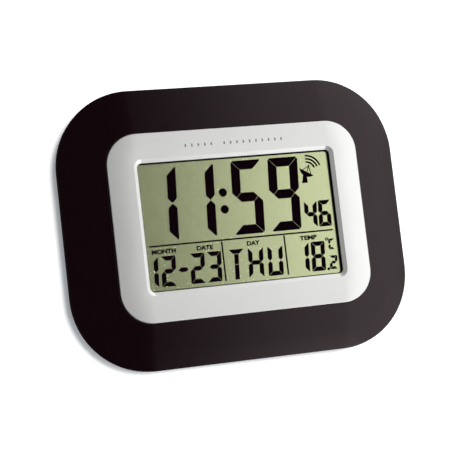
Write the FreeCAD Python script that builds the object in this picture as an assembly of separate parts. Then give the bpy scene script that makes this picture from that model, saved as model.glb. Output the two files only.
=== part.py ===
# Radio-controlled wall clock with a liquid crystal display.
# Millimetres. +Z is up, the display faces -Y, and the wall is the plane Y = 0.
# The origin is the centre of the hanging keyhole's round entry, on the wall plane.

import FreeCAD, Part
import math
import os

# Overlap given to fused pieces and cuts so that they join cleanly, and an arc's middle on a quarter round
join_lap = 0.1
quarter_arc = 1 - math.sqrt(0.5)

# The display's picture, which the clock is built round, the whole depth, and the hanging hole's place
view_width = 129.6
view_height = 81.2
total_depth = 27.0
hook_from_top = 14.65

# Outer frame, a dished ring with one constant section
rim_stand_off = 10.2
rim_edge = 2.6
rim_round = 0.8
rim_wall = 2.6
band_width = 30.25
band_rise = 9.8
band_bulge = 0.7
shell_wall = 2.6
bulge_wall_share = 1.06
recess_gap = 0.3
recess_lip_round = 0.5
flange_wall = 2.0
recess_depth = 2.5
skirt_wall = 2.2
cover_depth = 9.0

# Silver bezel
bezel_proud = 1.8
bezel_edge_round = 0.5
bezel_skirt_wall = 1.8
bezel_band = 19.25
bezel_corner_extra = 1.2
bezel_window_gap = 0.7
bezel_window_corner = 3.0
bezel_bevel_width = 2.4
bezel_crown_edge = 1.0
bezel_window_wall = 0.7
post_radius = 1.5
post_head_radius = 1.8
post_head_height = 1.0
post_gap = 0.1
post_side_gap = 0.1
post_side_z = 20.0
post_end_x = 32.0

# Lens, gasket and display glass
lens_margin = 3.0
lens_thickness = 1.5
lens_corner = 4.0
lens_gap = 0.2
lens_rib_wall = 1.2
lens_rib_gap = 0.15
gasket_thickness = 0.9
gasket_corner = 1.0
polarizer_thickness = 0.2
glass_thickness = 0.7
segment_thickness = 0.1
reflector_thickness = 0.2
glass_side_margin = 3.2
glass_bottom_margin = 2.0
glass_top_margin = 3.4
seal_margin = 1.0
glass_gap = 0.2

# Display holder and boards
holder_gap = 0.3
holder_floor = 1.5
holder_ledge = 5.0
holder_ledge_wall = 1.8
board_stand_off = 4.6
board_thickness = 1.2
zebra_width = 1.8
zebra_side_gap = 0.1
standoff_radius = 2.6
board_edge_gap = 14.0
board_top_gap = 0.5
zebra_end_gap = 2.0
board_tab_width = 18.0
board_tab_margin = 6.5

# Rear cover
cover_wall = 2.2
cover_tongue = 1.0
cover_tongue_depth = 1.6
cover_tongue_gap = 0.15
cover_tongue_root = 1.5
cover_corner_round = 1.2
boss_radius = 3.6
boss_inset = 9.0
boss_gap = 0.5
boss_rib = 1.6
screw_well_radius = 3.4
screw_head_radius = 2.6
screw_head_height = 1.8
screw_radius = 1.3
screw_hole_gap = 0.25
pilot_gap = 0.05
pilot_end_room = 0.8
small_pilot_end_room = 0.2
standoff_pilot_floor = 0.6
standoff_edge = 1.0
screw_length = 12.0
screw_seat = 5.0
small_screw_radius = 0.9
small_screw_head_radius = 1.8
small_screw_head_height = 1.2
small_screw_length = 3.6
holder_screw_length = 3.2
holder_screw_drop = 13.85

# Hanging keyhole
keyhole_radius = 4.5
keyhole_slot_width = 4.5
keyhole_slot_rise = 7.0

# Batteries, their bay and its door
cell_radius = 7.25
cell_length = 49.2
cell_tip_radius = 2.75
cell_tip_height = 1.3
cell_pitch = 15.2
bay_from_side = 27.85
bay_centre_z = -4.0
bay_wall = 1.4
bay_spring_room = 6.5
bay_plate_room = 0.9
bay_side_gap = 0.6
bay_floor_gap = 0.2
door_thickness = 1.8
door_gap = 0.3
door_lap = 2.4
door_rim_wall = 1.0
door_tab_width = 7.0
door_tab_length = 2.0
door_tab_thickness = 1.2
door_tab_spread = 20.0
door_latch_width = 12.0
door_latch_depth = 3.0
door_latch_wall = 1.2
door_grip_ridges = 5
door_grip_width = 16.0
door_grip_drop = 5.0
door_grip_pitch = 2.0
door_grip_groove = 1.0
door_grip_depth = 0.4
door_tab_root = 0.8
door_tab_play = 0.15
door_latch_clear = 0.7
contact_thickness = 0.4
contact_width = 8.4
spring_wire = 0.4
spring_radius = 3.2
spring_end_gap = 0.2
spring_turns = 4

# Fold-out table stand
stand_width = 46.0
stand_length = 52.0
stand_thickness = 3.0
stand_gap = 0.4
stand_pin_radius = 1.5
stand_pin_gap = 0.05
stand_hinge_rise = 8.65
stand_sink = 0.6
stand_recess_wall = 1.6
stand_window_margin = 7.0
stand_finger_radius = 7.0
stand_finger_depth = 1.4
stand_wedge_drop = 4.0
stand_pocket_depth = 1.0
stand_corner = 5.0
stand_pocket_corner = 4.0

# Rear buttons
button_count = 5
button_radius = 3.6
button_pitch = 13.0
button_from_side = 22.85
button_first_z = 22.0
button_sink = 0.5
button_gap = 0.3
button_flange = 1.2
button_flange_height = 1.0
button_edge_round = 0.4
button_travel = 0.8
button_stem_radius = 1.6
switch_size = 6.0
switch_height = 3.4
switch_bore_depth = 1.5
switch_play = 0.2
stem_gap = 0.1

# Aerial and small electronics
rod_radius = 4.0
rod_length = 60.0
rod_x = -20.0
rod_rise = 11.65
rod_cradle_inset = 8.0
coil_radius = 5.6
coil_length = 24.0
rod_cradle_width = 3.0
rod_cradle_wall = 1.4
rod_gap = 0.1
receiver_width = 20.0
receiver_height = 13.0
receiver_gap = 2.0
receiver_post_inset = 2.4
chip_radius = 7.0
chip_height = 1.6
crystal_radius = 1.5
crystal_length = 6.0
capacitor_radius = 2.5
capacitor_height = 6.0
thermistor_radius = 1.2
thermistor_length = 2.6
vent_count = 5
vent_width = 1.6
vent_length = 12.0
vent_pitch = 3.6
vent_drop = 12.85
chip_from_end = 46.85
crystal_from_end = 30.85
capacitor_from_end = 12.85
thermistor_from_end = 26.85
small_part_rise = 3.0
thermistor_stand = 3.0
thermistor_leg_radius = 0.25
thermistor_leg_spread = 0.6
receiver_chip_size = 5.0
receiver_chip_height = 1.2

# Display layout on a picture of the drawn size, from its middle, x to the right and z up
drawn_width = 129.6
drawn_height = 81.2
digit_lean = 3.2
segment_gap = 0.3
line_left = -62.6
line_right = 62.8
line_z = -11.95
line_thickness = 1.0
big_row_top = drawn_height / 2 - 1.9
big_row_low = line_z + 2.35
big_digit = dict(width=20.8, height=big_row_top - big_row_low, stroke=6.0, corner=1.4)
big_digit_z = (big_row_top + big_row_low) / 2
big_row = (("one", -51.45), ("one", -26.05), ("five", 6.6), ("nine", 32.0))
colon_x = -9.9
colon_z = (18.75, 7.75)
colon_radius = 2.75
small_digit = dict(width=8.8, height=17.4, stroke=2.9, corner=0.5)
small_digit_z = -0.5
small_row = (("four", 48.7), ("six", 58.5))
low_row_top = line_z - 6.8
low_row_low = 2.35 - drawn_height / 2
low_digit = dict(width=9.6, height=low_row_top - low_row_low, stroke=2.9, corner=0.6)
low_digit_z = (low_row_top + low_row_low) / 2
low_row = (("one", -63.1), ("two", -51.5), ("dash", -41.75), ("two", -32.3), ("three", -21.1),
           ("one", 39.2), ("eight", 50.4))
weekday_digit = dict(low_digit, width=10.3)
weekday_row = (("T", -6.0), ("H", 7.1), ("U", 20.5))
tenth_digit = dict(width=5.5, height=9.0, stroke=1.8, corner=0.3)
tenth_x = 60.6
tenth_z = -33.4
point_x = 56.6
point_z = -37.5
point_radius = 0.9
degree_x = 57.5
degree_z = -17.75
degree_radius = 1.05
degree_stroke = 0.6
unit_digit = dict(width=4.2, height=7.1, stroke=1.5, corner=0.2)
unit_x = 60.5
unit_z = -21.25
divider_x = (-14.5, 28.25)
divider_bottom = -38.5
divider_thickness = 1.0
signal_x = 49.4
signal_z = 28.5
signal_arc_radii = (5.9, 8.0, 10.1)
signal_arc_stroke = 1.1
signal_arc_span = 72.0
signal_arc_turn = 54.0
signal_dish = ((-4.8, 2.1), (-1.8, -3.3), (4.4, -3.3))
signal_feed = (1.7, 3.2)
signal_feed_radius = 0.6
signal_struts = ((-2.6, 0.9), (0.2, -0.6), (2.7, -2.1))
signal_strut_width = 0.5
signal_foot = ((-4.2, -7.9), (-0.2, -7.9), (-0.4, -2.4), (-2.7, -2.2))

# Places worked out from the sizes above
rim_front_y = -(rim_stand_off + rim_edge)
band_start_inset = rim_round * 0.8
band_start_y = rim_front_y - rim_round
band_end_y = band_start_y - band_rise
recess_inset = band_width - recess_gap
bezel_edge_y = band_end_y - bezel_proud
crown_y = -total_depth
window_edge_y = bezel_edge_y
bevel_depth = window_edge_y - crown_y
bezel_back_y = window_edge_y + bezel_window_wall
recess_y = band_end_y + recess_depth
flange_back_y = recess_y + flange_wall
skirt_end_y = -cover_depth
window_width = view_width + 2 * bezel_window_gap
window_height = view_height + 2 * bezel_window_gap
bezel_width = window_width + 2 * bezel_band
bezel_height = window_height + 2 * bezel_band
bezel_corner = bezel_band + bezel_corner_extra
frame_width = bezel_width + 2 * band_width
frame_height = bezel_height + 2 * band_width
frame_corner = bezel_corner + band_width
lens_width = window_width + 2 * lens_margin
lens_height = window_height + 2 * lens_margin
lens_rib = lens_gap + lens_rib_wall
opening_width = lens_width + 2 * (lens_rib + lens_rib_gap)
opening_height = lens_height + 2 * (lens_rib + lens_rib_gap)
flange_inset = (frame_width - opening_width) / 2
opening_corner = frame_corner - flange_inset
post_room = 2 * (post_head_radius + post_side_gap)
skirt_inner_inset = flange_inset - holder_ledge - post_room
skirt_inset = skirt_inner_inset - skirt_wall
cover_width = frame_width - 2 * skirt_inset
cover_height = frame_height - 2 * skirt_inset
cover_corner = frame_corner - skirt_inset
cavity_width = frame_width - 2 * skirt_inner_inset
cavity_height = frame_height - 2 * skirt_inner_inset
cavity_corner = frame_corner - skirt_inner_inset
hook_rise = cavity_height / 2 - hook_from_top
centre_z = -hook_rise
lens_y = bezel_back_y
gasket_y = lens_y + lens_thickness
glass_y = gasket_y + gasket_thickness
front_glass_y = glass_y + polarizer_thickness
segment_y = front_glass_y + glass_thickness
rear_glass_y = segment_y + segment_thickness
reflector_y = rear_glass_y + glass_thickness
floor_y = reflector_y + reflector_thickness
floor_back_y = floor_y + holder_floor
board_y = floor_back_y + board_stand_off
board_back_y = board_y + board_thickness
glass_left = -view_width / 2 - glass_side_margin
glass_right = -glass_left
glass_low = -view_height / 2 - glass_bottom_margin
glass_high = view_height / 2 + glass_top_margin
rear_glass_high = view_height / 2 + seal_margin
holder_width = opening_width - 2 * holder_gap
holder_height = opening_height - 2 * holder_gap
holder_corner = opening_corner - holder_gap
ledge_width = opening_width + 2 * holder_ledge
ledge_height = opening_height + 2 * holder_ledge
ledge_corner = opening_corner + holder_ledge
ledge_back_y = flange_back_y + holder_ledge_wall
boss_x = cavity_width / 2 - boss_inset
boss_z = cavity_height / 2 - boss_inset
boss_end_y = -(screw_seat + cover_wall + 2.0)
bay_centre_x = cavity_width / 2 - bay_from_side
cell_y = -(door_thickness + bay_floor_gap + cell_radius)
bay_floor_y = cell_y - cell_radius - bay_floor_gap
bay_width = cell_pitch + 2 * cell_radius + 2 * bay_side_gap
bay_length = cell_length + cell_tip_height + bay_spring_room + bay_plate_room
door_length = bay_length + 2 * door_lap
door_low_z = bay_centre_z - door_length / 2
door_high_z = bay_centre_z + door_length / 2
stand_hinge_y = -(stand_sink + stand_thickness / 2)
stand_recess_y = -(stand_sink + stand_thickness + stand_gap)
stand_hinge_z = stand_hinge_rise - cavity_height / 2
stand_tip_z = stand_hinge_z + stand_length
switch_top_y = board_back_y + switch_height
button_front_y = switch_top_y - switch_bore_depth + button_travel + switch_play
button_column_x = button_from_side - cavity_width / 2
rod_y = floor_back_y + rod_cradle_wall + coil_radius
rod_z = rod_rise - cavity_height / 2
board_low_z = bay_centre_z + door_length / 2 + 1.5
board_high_z = holder_height / 2 - board_top_gap
board_half = cavity_width / 2 - board_edge_gap
tab_right = -board_half + board_tab_width
button_last_z = button_first_z - (button_count - 1) * button_pitch
tab_low_z = button_last_z - board_tab_margin
rod_end_x = rod_x + rod_length / 2
receiver_x = rod_end_x + receiver_gap + receiver_width / 2
chip_x = board_half - chip_from_end
crystal_x = board_half - crystal_from_end
capacitor_x = board_half - capacitor_from_end
thermistor_x = thermistor_from_end - board_half
vent_x = thermistor_x
vent_low_z = board_low_z - vent_drop


# Helpers. Shapes are built about the middle of the clock and moved to the keyhole's frame on saving.
def vec(x, y, z):
    return FreeCAD.Vector(x, y, z)


def box(x0, x1, y0, y1, z0, z1):
    return Part.makeBox(x1 - x0, y1 - y0, z1 - z0, vec(x0, y0, z0))


def rod(x, z, radius, y0, y1):
    return Part.makeCylinder(radius, y1 - y0, vec(x, y0, z), vec(0, 1, 0))


def rod_x_way(x0, x1, y, z, radius):
    return Part.makeCylinder(radius, x1 - x0, vec(x0, y, z), vec(1, 0, 0))


def rounded_wire(width, height, corner, y, x=0.0, z=0.0):
    half_w = width / 2
    half_h = height / 2
    edges = []
    turns = ((1, 1), (-1, 1), (-1, -1), (1, -1))
    ends = []
    for index, (side_x, side_z) in enumerate(turns):
        cx = x + side_x * (half_w - corner)
        cz = z + side_z * (half_h - corner)
        points = []
        for step in range(3):
            angle = math.radians(90 * index + 45 * step)
            points.append(vec(cx + corner * math.cos(angle), y, cz + corner * math.sin(angle)))
        ends.append(points)
    for index, points in enumerate(ends):
        edges.append(Part.Arc(*points).toShape())
        edges.append(Part.LineSegment(points[2], ends[(index + 1) % 4][0]).toShape())
    return Part.Wire(edges)


def rounded_plate(width, height, corner, y0, y1, x=0.0, z=0.0):
    face = Part.Face(rounded_wire(width, height, corner, y0, x, z))
    return face.extrude(vec(0, y1 - y0, 0))


def rounded_taper(size0, y0, size1, y1, x=0.0, z=0.0):
    wires = [rounded_wire(*size0, y0, x, z), rounded_wire(*size1, y1, x, z)]
    return Part.makeLoft(wires, True, True)


def rounded_tube(width, height, corner, wall, y0, y1):
    outer = rounded_plate(width, height, corner, y0, y1)
    inner = rounded_plate(width - 2 * wall, height - 2 * wall, corner - wall, y0, y1)
    return outer.cut(inner)


def section_face(section, place):
    """A closed section of (inset, y) points: a plain point is reached by a line, a pair by an arc."""
    edges = []
    last = place(*section[0])
    for item in section[1:] + section[:1]:
        if isinstance(item[0], tuple):
            middle = place(*item[0])
            end = place(*item[1])
            edges.append(Part.Arc(last, middle, end).toShape())
        else:
            end = place(*item)
            edges.append(Part.LineSegment(last, end).toShape())
        last = end
    return Part.Face(Part.Wire(edges))


def ring(section, width, height, corner):
    """The section carried round a rounded rectangle: four straight runs and four turned corners."""
    run_x = width / 2 - corner
    run_z = height / 2 - corner
    solids = []
    for side in (1, -1):
        def upright(inset, y, side=side):
            return vec(side * (width / 2 - inset), y, -run_z)

        def level(inset, y, side=side):
            return vec(-run_x, y, side * (height / 2 - inset))

        solids.append(section_face(section, upright).extrude(vec(0, 0, 2 * run_z)))
        solids.append(section_face(section, level).extrude(vec(2 * run_x, 0, 0)))
    for side_x in (1, -1):
        for side_z in (1, -1):
            def start(inset, y, side_x=side_x, side_z=side_z):
                return vec(side_x * (width / 2 - inset), y, side_z * run_z)

            axis = vec(0, -side_x * side_z, 0)
            centre = vec(side_x * run_x, 0, side_z * run_z)
            solids.append(section_face(section, start).revolve(centre, axis, 90))
    return solids[0].fuse(solids[1:]).removeSplitter()


def arc_height(start, middle, end, inset):
    """The y of the arc through three (inset, y) points, at one inset."""
    (ax, ay), (bx, by), (cx, cy) = start, middle, end
    d = 2 * (ax * (by - cy) + bx * (cy - ay) + cx * (ay - by))
    a2, b2, c2 = ax * ax + ay * ay, bx * bx + by * by, cx * cx + cy * cy
    ux = (a2 * (by - cy) + b2 * (cy - ay) + c2 * (ay - by)) / d
    uy = (a2 * (cx - bx) + b2 * (ax - cx) + c2 * (bx - ax)) / d
    radius = math.hypot(ax - ux, ay - uy)
    return uy - math.sqrt(radius ** 2 - (inset - ux) ** 2)


def corner_places(x, z):
    return [(sx * x, sz * z) for sx in (1, -1) for sz in (1, -1)]


def save(name, shape):
    moved = shape.copy()
    moved.translate(vec(0, 0, centre_z))
    moved.exportStep("parts/" + name + ".step")
    solids = moved.Solids
    good = all(solid.isValid() for solid in solids)
    print(name, "solids", len(solids), "volume", round(moved.Volume, 1), "valid", good)


def bezel_posts():
    """Places of the posts that hold the bezel, in the gap between the holder and the frame's skirt."""
    side_x = (cavity_width + ledge_width) / 4
    end_z = (cavity_height + ledge_height) / 4
    return corner_places(side_x, post_side_z) + corner_places(post_end_x, end_z)


def boss_places():
    return corner_places(boss_x, boss_z)


def holder_screw_places():
    return corner_places(opening_width / 2 + holder_ledge / 2, opening_height / 2 - holder_screw_drop)


def outer_frame():
    round_start = (0.0, rim_front_y)
    slope_start = (band_start_inset, band_start_y)
    slope_end = (recess_inset - recess_lip_round, band_end_y)
    middle_inset = (slope_start[0] + slope_end[0]) / 2
    middle_y = (slope_start[1] + slope_end[1]) / 2 - band_bulge
    back_inset = recess_inset - shell_wall
    back_y = middle_y + shell_wall * bulge_wall_share
    lip = recess_lip_round
    lip_middle = lip * quarter_arc
    section = [
        (0.0, -rim_stand_off),
        round_start,
        ((band_start_inset * 0.26, rim_front_y - rim_round * 0.68), slope_start),
        ((middle_inset, middle_y), slope_end),
        ((recess_inset - lip_middle, band_end_y + lip_middle), (recess_inset, band_end_y + lip)),
        (recess_inset, recess_y),
        (flange_inset, recess_y),
        (flange_inset, flange_back_y),
        (skirt_inner_inset, flange_back_y),
        (skirt_inner_inset, skirt_end_y),
        (skirt_inset, skirt_end_y),
        (skirt_inset, flange_back_y),
        (back_inset, flange_back_y),
        ((middle_inset, back_y), (rim_wall, -rim_stand_off)),
    ]
    body = ring(section, frame_width, frame_height, frame_corner)
    bosses = []
    for x, z in boss_places():
        bosses.append(rod(x, z, boss_radius, flange_back_y, boss_end_y))
        outward = math.copysign(cavity_width / 2 + skirt_wall / 2, x)
        rib_end_y = skirt_end_y - cover_tongue_depth - boss_gap
        half = boss_rib / 2
        bosses.append(box(min(x, outward), max(x, outward), flange_back_y, rib_end_y, z - half, z + half))
    body = body.fuse(bosses)
    cuts = []
    pilot_tip_y = -(screw_seat + screw_length + pilot_end_room)
    for x, z in boss_places():
        cuts.append(rod(x, z, screw_radius + pilot_gap, pilot_tip_y, boss_end_y))
    for x, z in bezel_posts():
        cuts.append(rod(x, z, post_radius + post_gap, recess_y, flange_back_y))
    pilot = small_screw_radius + pilot_gap
    pilot_tip_y = ledge_back_y - holder_screw_length - small_pilot_end_room
    for x, z in holder_screw_places():
        cuts.append(rod(x, z, pilot, pilot_tip_y, flange_back_y))
    return body.cut(cuts)


def bezel():
    """A ring whose face rises from its outer edge and is level where the bevel round the window starts."""
    edge = bezel_edge_round
    start = (edge, bezel_edge_y - edge * 0.4)
    bevel_inset = bezel_band - bezel_bevel_width
    level = (bevel_inset, crown_y)
    run = level[0] - start[0]
    rise = start[1] - level[1]
    crown_radius = (run ** 2 + rise ** 2) / (2 * rise)
    middle = (bevel_inset - run / 2, crown_y + crown_radius - math.sqrt(crown_radius ** 2 - (run / 2) ** 2))
    inner = bevel_inset + bezel_crown_edge
    inner_y = arc_height(start, middle, level, inner)
    section = [
        (0.0, recess_y),
        (0.0, bezel_edge_y + edge),
        ((edge * quarter_arc, bezel_edge_y + edge * 0.1), start),
        (middle, (inner, inner_y)),
        (inner, bezel_back_y),
        (bezel_skirt_wall, bezel_back_y),
        (bezel_skirt_wall, recess_y),
    ]
    body = ring(section, bezel_width, bezel_height, bezel_corner)
    plate_w = bezel_width - 2 * inner + 2 * join_lap
    plate_h = bezel_height - 2 * inner + 2 * join_lap
    plate = rounded_plate(plate_w, plate_h, bezel_corner - inner + join_lap, inner_y, bezel_back_y)
    window = (window_width, window_height, bezel_window_corner)
    taper = bevel_depth + bezel_crown_edge
    spread = taper / bevel_depth * bezel_bevel_width
    flared = (window[0] + 2 * spread, window[1] + 2 * spread, window[2] + spread)
    body = body.fuse(plate)
    body = body.cut(rounded_taper(window, window_edge_y, flared, window_edge_y - taper))
    body = body.cut(rounded_plate(*window, window_edge_y, bezel_back_y))
    rib = rounded_tube(lens_width + 2 * lens_rib, lens_height + 2 * lens_rib, lens_corner + lens_rib,
                       lens_rib_wall, bezel_back_y, glass_y)
    posts = []
    for x, z in bezel_posts():
        posts.append(rod(x, z, post_radius, bezel_back_y, flange_back_y))
        posts.append(rod(x, z, post_head_radius, flange_back_y, flange_back_y + post_head_height))
    return body.fuse([rib] + posts).removeSplitter()


def lens():
    return rounded_plate(lens_width, lens_height, lens_corner, lens_y, gasket_y)


def lcd_gasket():
    outer = rounded_plate(lens_width, lens_height, lens_corner, gasket_y, glass_y)
    return outer.cut(rounded_plate(view_width, view_height, gasket_corner, gasket_y, glass_y))


def glass_sheet(y0, y1, high):
    return box(glass_left, glass_right, y0, y1, glass_low, high)


def front_polarizer():
    return glass_sheet(glass_y, front_glass_y, rear_glass_high)


def lcd_front_glass():
    return glass_sheet(front_glass_y, segment_y, glass_high)


def lcd_rear_glass():
    return glass_sheet(rear_glass_y, reflector_y, rear_glass_high)


def lcd_reflector():
    return glass_sheet(reflector_y, floor_y, rear_glass_high)


def lcd_edge_seal():
    """The sealing rim between the two glasses, round the picture area."""
    outer = glass_sheet(segment_y, rear_glass_y, rear_glass_high)
    return outer.cut(box(-view_width / 2, view_width / 2, segment_y, rear_glass_y, -view_height / 2,
                         view_height / 2))


def on_glass(x, z):
    """A place of the drawn layout, on the real picture area."""
    return vec(x * view_width / drawn_width, segment_y, z * view_height / drawn_height)


def mark_from_face(face):
    return face.extrude(vec(0, segment_thickness, 0))


def mark(points):
    corners = [on_glass(x, z) for x, z in points]
    return mark_from_face(Part.Face(Part.makePolygon(corners + corners[:1])))


def mirrored(points, side_x, side_z):
    return [(side_x * x, side_z * z) for x, z in points]


def digit_outlines(width, height, stroke, corner):
    """Outlines of a digit's seven bars about its own middle, upright, keyed a to g as on a display."""
    w, h, t = width / 2, height / 2, stroke
    m = t / 2
    g = segment_gap / 2
    near = (corner - g) / 2
    far = (corner + g) / 2
    top = [(-w + corner, h), (w - corner, h), (w - far, h - near), (w - t - g, h - t), (-w + t + g, h - t),
           (-w + far, h - near)]
    upper = [(w, h - corner), (w, m + g), (w - m, g), (w - t, m + g), (w - t, h - t - g), (w - near, h - far)]
    middle = [(-w + t + g, m), (w - t - g, m), (w - m - g, 0), (w - t - g, -m), (-w + t + g, -m),
              (-w + m + g, 0)]
    return dict(a=top, b=upper, c=mirrored(upper, 1, -1), d=mirrored(top, 1, -1), e=mirrored(upper, -1, -1),
                f=mirrored(upper, -1, 1), g=middle)


# Which bars each sign lights
BARS = dict(one="bc", two="abged", three="abgcd", four="fgbc", five="afgcd", six="afgedc", eight="abcdefg",
            nine="abcdfg", dash="g", unit="afed", H="fegbc", U="fedcb")


def leaned(points, x, z):
    lean = math.tan(math.radians(digit_lean))
    return [(x + px + pz * lean, z + pz) for px, pz in points]


def digit(sign, size, x, z):
    outlines = digit_outlines(**size)
    if sign == "T":
        return letter_t(size, outlines["a"], x, z)
    return [mark(leaned(outlines[bar], x, z)) for bar in BARS[sign]]


def letter_t(size, top_bar, x, z):
    """A bar across the top over two upright bars in the middle."""
    side = size["stroke"] / 2
    half = size["height"] / 2
    gap = segment_gap / 2
    low = [(-side, -half), (side, -half), (side, -gap), (-side, -gap)]
    under_bar = half - size["stroke"] - 2 * gap
    high = [(-side, gap), (side, gap), (side, under_bar), (-side, under_bar)]
    return [mark(leaned(points, x, z)) for points in (top_bar, low, high)]


def row(signs, size, z):
    marks = []
    for sign, x in signs:
        marks += digit(sign, size, x, z)
    return marks


def arc_band(x, z, radius, stroke, middle_angle, span):
    """A thin stretch of ring, flat on the glass."""
    centre = on_glass(x, z)
    half = math.radians(span / 2)
    middle = math.radians(middle_angle)
    edges = []
    ends = []
    for r, turn in ((radius - stroke / 2, 1), (radius + stroke / 2, -1)):
        angles = [middle - turn * half, middle, middle + turn * half]
        points = [centre + vec(r * math.cos(a), 0, r * math.sin(a)) for a in angles]
        edges.append(Part.Arc(*points).toShape())
        ends.append(points)
    edges.insert(1, Part.LineSegment(ends[0][2], ends[1][0]).toShape())
    edges.append(Part.LineSegment(ends[1][2], ends[0][0]).toShape())
    return mark_from_face(Part.Face(Part.Wire(edges)))


def disc(x, z, radius):
    place = on_glass(x, z)
    return rod(place.x, place.z, radius, segment_y, rear_glass_y)


def thin_line(start, end, width):
    (x0, z0), (x1, z1) = start, end
    length = math.hypot(x1 - x0, z1 - z0)
    side_x = (z1 - z0) / length * width / 2
    side_z = (x0 - x1) / length * width / 2
    return mark([(x0 + side_x, z0 + side_z), (x1 + side_x, z1 + side_z), (x1 - side_x, z1 - side_z),
                 (x0 - side_x, z0 - side_z)])


def signal_mark():
    """A dish on a foot with waves above it, the common sign for radio reception."""
    def place(point):
        return (signal_x + point[0], signal_z + point[1])

    waves = [arc_band(signal_x, signal_z, r, signal_arc_stroke, signal_arc_turn, signal_arc_span)
             for r in signal_arc_radii]
    rim_start, bowl, rim_end = [on_glass(*place(point)) for point in signal_dish]
    edges = [Part.Arc(rim_start, bowl, rim_end).toShape(), Part.LineSegment(rim_end, rim_start).toShape()]
    dish = mark_from_face(Part.Face(Part.Wire(edges)))
    parts = [thin_line(place(point), place(signal_feed), signal_strut_width) for point in signal_struts]
    parts.append(disc(*place(signal_feed), signal_feed_radius))
    parts.append(mark([place(point) for point in signal_foot]))
    return waves + [dish.fuse(parts).removeSplitter()]


def flat_bar(x0, x1, z0, z1):
    return mark([(x0, z0), (x1, z0), (x1, z1), (x0, z1)])


def lcd_segments():
    marks = row(big_row, big_digit, big_digit_z)
    marks += row(small_row, small_digit, small_digit_z)
    marks += row(low_row, low_digit, low_digit_z)
    marks += row(weekday_row, weekday_digit, low_digit_z)
    marks += digit("two", tenth_digit, tenth_x, tenth_z)
    marks += digit("unit", unit_digit, unit_x, unit_z)
    marks += [disc(colon_x, z, colon_radius) for z in colon_z]
    marks.append(disc(point_x, point_z, point_radius))
    marks.append(disc(degree_x, degree_z, degree_radius).cut(
        disc(degree_x, degree_z, degree_radius - degree_stroke)))
    half_line = line_thickness / 2
    marks.append(flat_bar(line_left, line_right, line_z - half_line, line_z + half_line))
    half = divider_thickness / 2
    for x in divider_x:
        marks.append(flat_bar(x - half, x + half, divider_bottom, line_z - half_line - segment_gap))
    return Part.makeCompound(marks + signal_mark())


def standoff_places():
    top_z = board_low_z + standoff_radius + standoff_edge
    low_z = button_last_z - button_radius
    return [(-board_half + 4.0, top_z), (board_half - 4.0, top_z), (0.0, top_z), (tab_right - 3.4, low_z)]


def receiver_posts():
    reach = receiver_width / 2 - receiver_post_inset
    return [(receiver_x - reach, rod_z), (receiver_x + reach, rod_z)]


def zebra_z():
    return (rear_glass_high + glass_high) / 2


def lcd_holder():
    gap = glass_gap
    nose = rounded_plate(holder_width, holder_height, holder_corner, glass_y, floor_back_y)
    nose = nose.cut(box(glass_left - gap, glass_right + gap, glass_y, floor_y, glass_low - gap,
                        glass_high + gap))
    ledge = rounded_plate(ledge_width, ledge_height, ledge_corner, flange_back_y, ledge_back_y)
    inner = rounded_plate(holder_width - 2, holder_height - 2, holder_corner - 1, flange_back_y, ledge_back_y)
    room = boss_radius + boss_gap
    corners = []
    for x, z in boss_places():
        x0, x1 = sorted((x - math.copysign(room, x), math.copysign(frame_width, x)))
        z0, z1 = sorted((z - math.copysign(room, z), math.copysign(frame_height, z)))
        corners.append(box(x0, x1, flange_back_y, ledge_back_y, z0, z1))
    ledge = ledge.cut([inner] + corners)
    parts = [ledge]
    for x, z in standoff_places():
        parts.append(rod(x, z, standoff_radius, floor_y, board_y))
    for x, z in receiver_posts():
        parts.append(rod(x, z, standoff_radius, floor_y, board_y))
    cradle_half = rod_radius + rod_gap + rod_cradle_wall
    cradle_x = rod_length / 2 - rod_cradle_inset
    for x in (rod_x - cradle_x, rod_x + cradle_x):
        half = rod_cradle_width / 2
        parts.append(box(x - half, x + half, floor_back_y - join_lap, rod_y, rod_z - cradle_half,
                         rod_z + cradle_half))
    body = nose.fuse(parts)
    half_slot = zebra_width / 2 + zebra_side_gap
    reach = board_half - zebra_end_gap + zebra_side_gap
    cuts = [box(-reach, reach, floor_y, floor_back_y, zebra_z() - half_slot, zebra_z() + half_slot)]
    cuts.append(rod_x_way(rod_x - rod_length / 2, rod_x + rod_length / 2, rod_y, rod_z, rod_radius + rod_gap))
    for x, z in standoff_places() + receiver_posts():
        cuts.append(rod(x, z, small_screw_radius + pilot_gap, floor_y + standoff_pilot_floor, board_y))
    for x, z in boss_places():
        cuts.append(rod(x, z, boss_radius + boss_gap, flange_back_y, ledge_back_y))
    for x, z in holder_screw_places():
        cuts.append(rod(x, z, small_screw_radius + screw_hole_gap, flange_back_y, ledge_back_y))
    return body.cut(cuts)


def zebra_strip():
    half = zebra_width / 2
    reach = board_half - zebra_end_gap
    return box(-reach, reach, segment_y, board_y, zebra_z() - half, zebra_z() + half)


def main_board():
    strip = box(-board_half, board_half, board_y, board_back_y, board_low_z, board_high_z)
    tab = box(-board_half, tab_right, board_y, board_back_y, tab_low_z, board_low_z)
    holes = [rod(x, z, small_screw_radius + screw_hole_gap, board_y, board_back_y)
             for x, z in standoff_places()]
    return strip.fuse(tab).removeSplitter().cut(holes)


def board_screws():
    seat = board_back_y
    places = standoff_places() + receiver_posts()
    return Part.makeCompound([screw(x, z, seat, small_screw_length, small_screw_radius,
                                    small_screw_head_radius, small_screw_head_height) for x, z in places])


def holder_screws():
    return Part.makeCompound([screw(x, z, ledge_back_y, holder_screw_length, small_screw_radius,
                                    small_screw_head_radius, small_screw_head_height)
                              for x, z in holder_screw_places()])


def cover_screws():
    return Part.makeCompound([screw(x, z, -screw_seat, screw_length, screw_radius, screw_head_radius,
                                    screw_head_height) for x, z in boss_places()])


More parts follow.
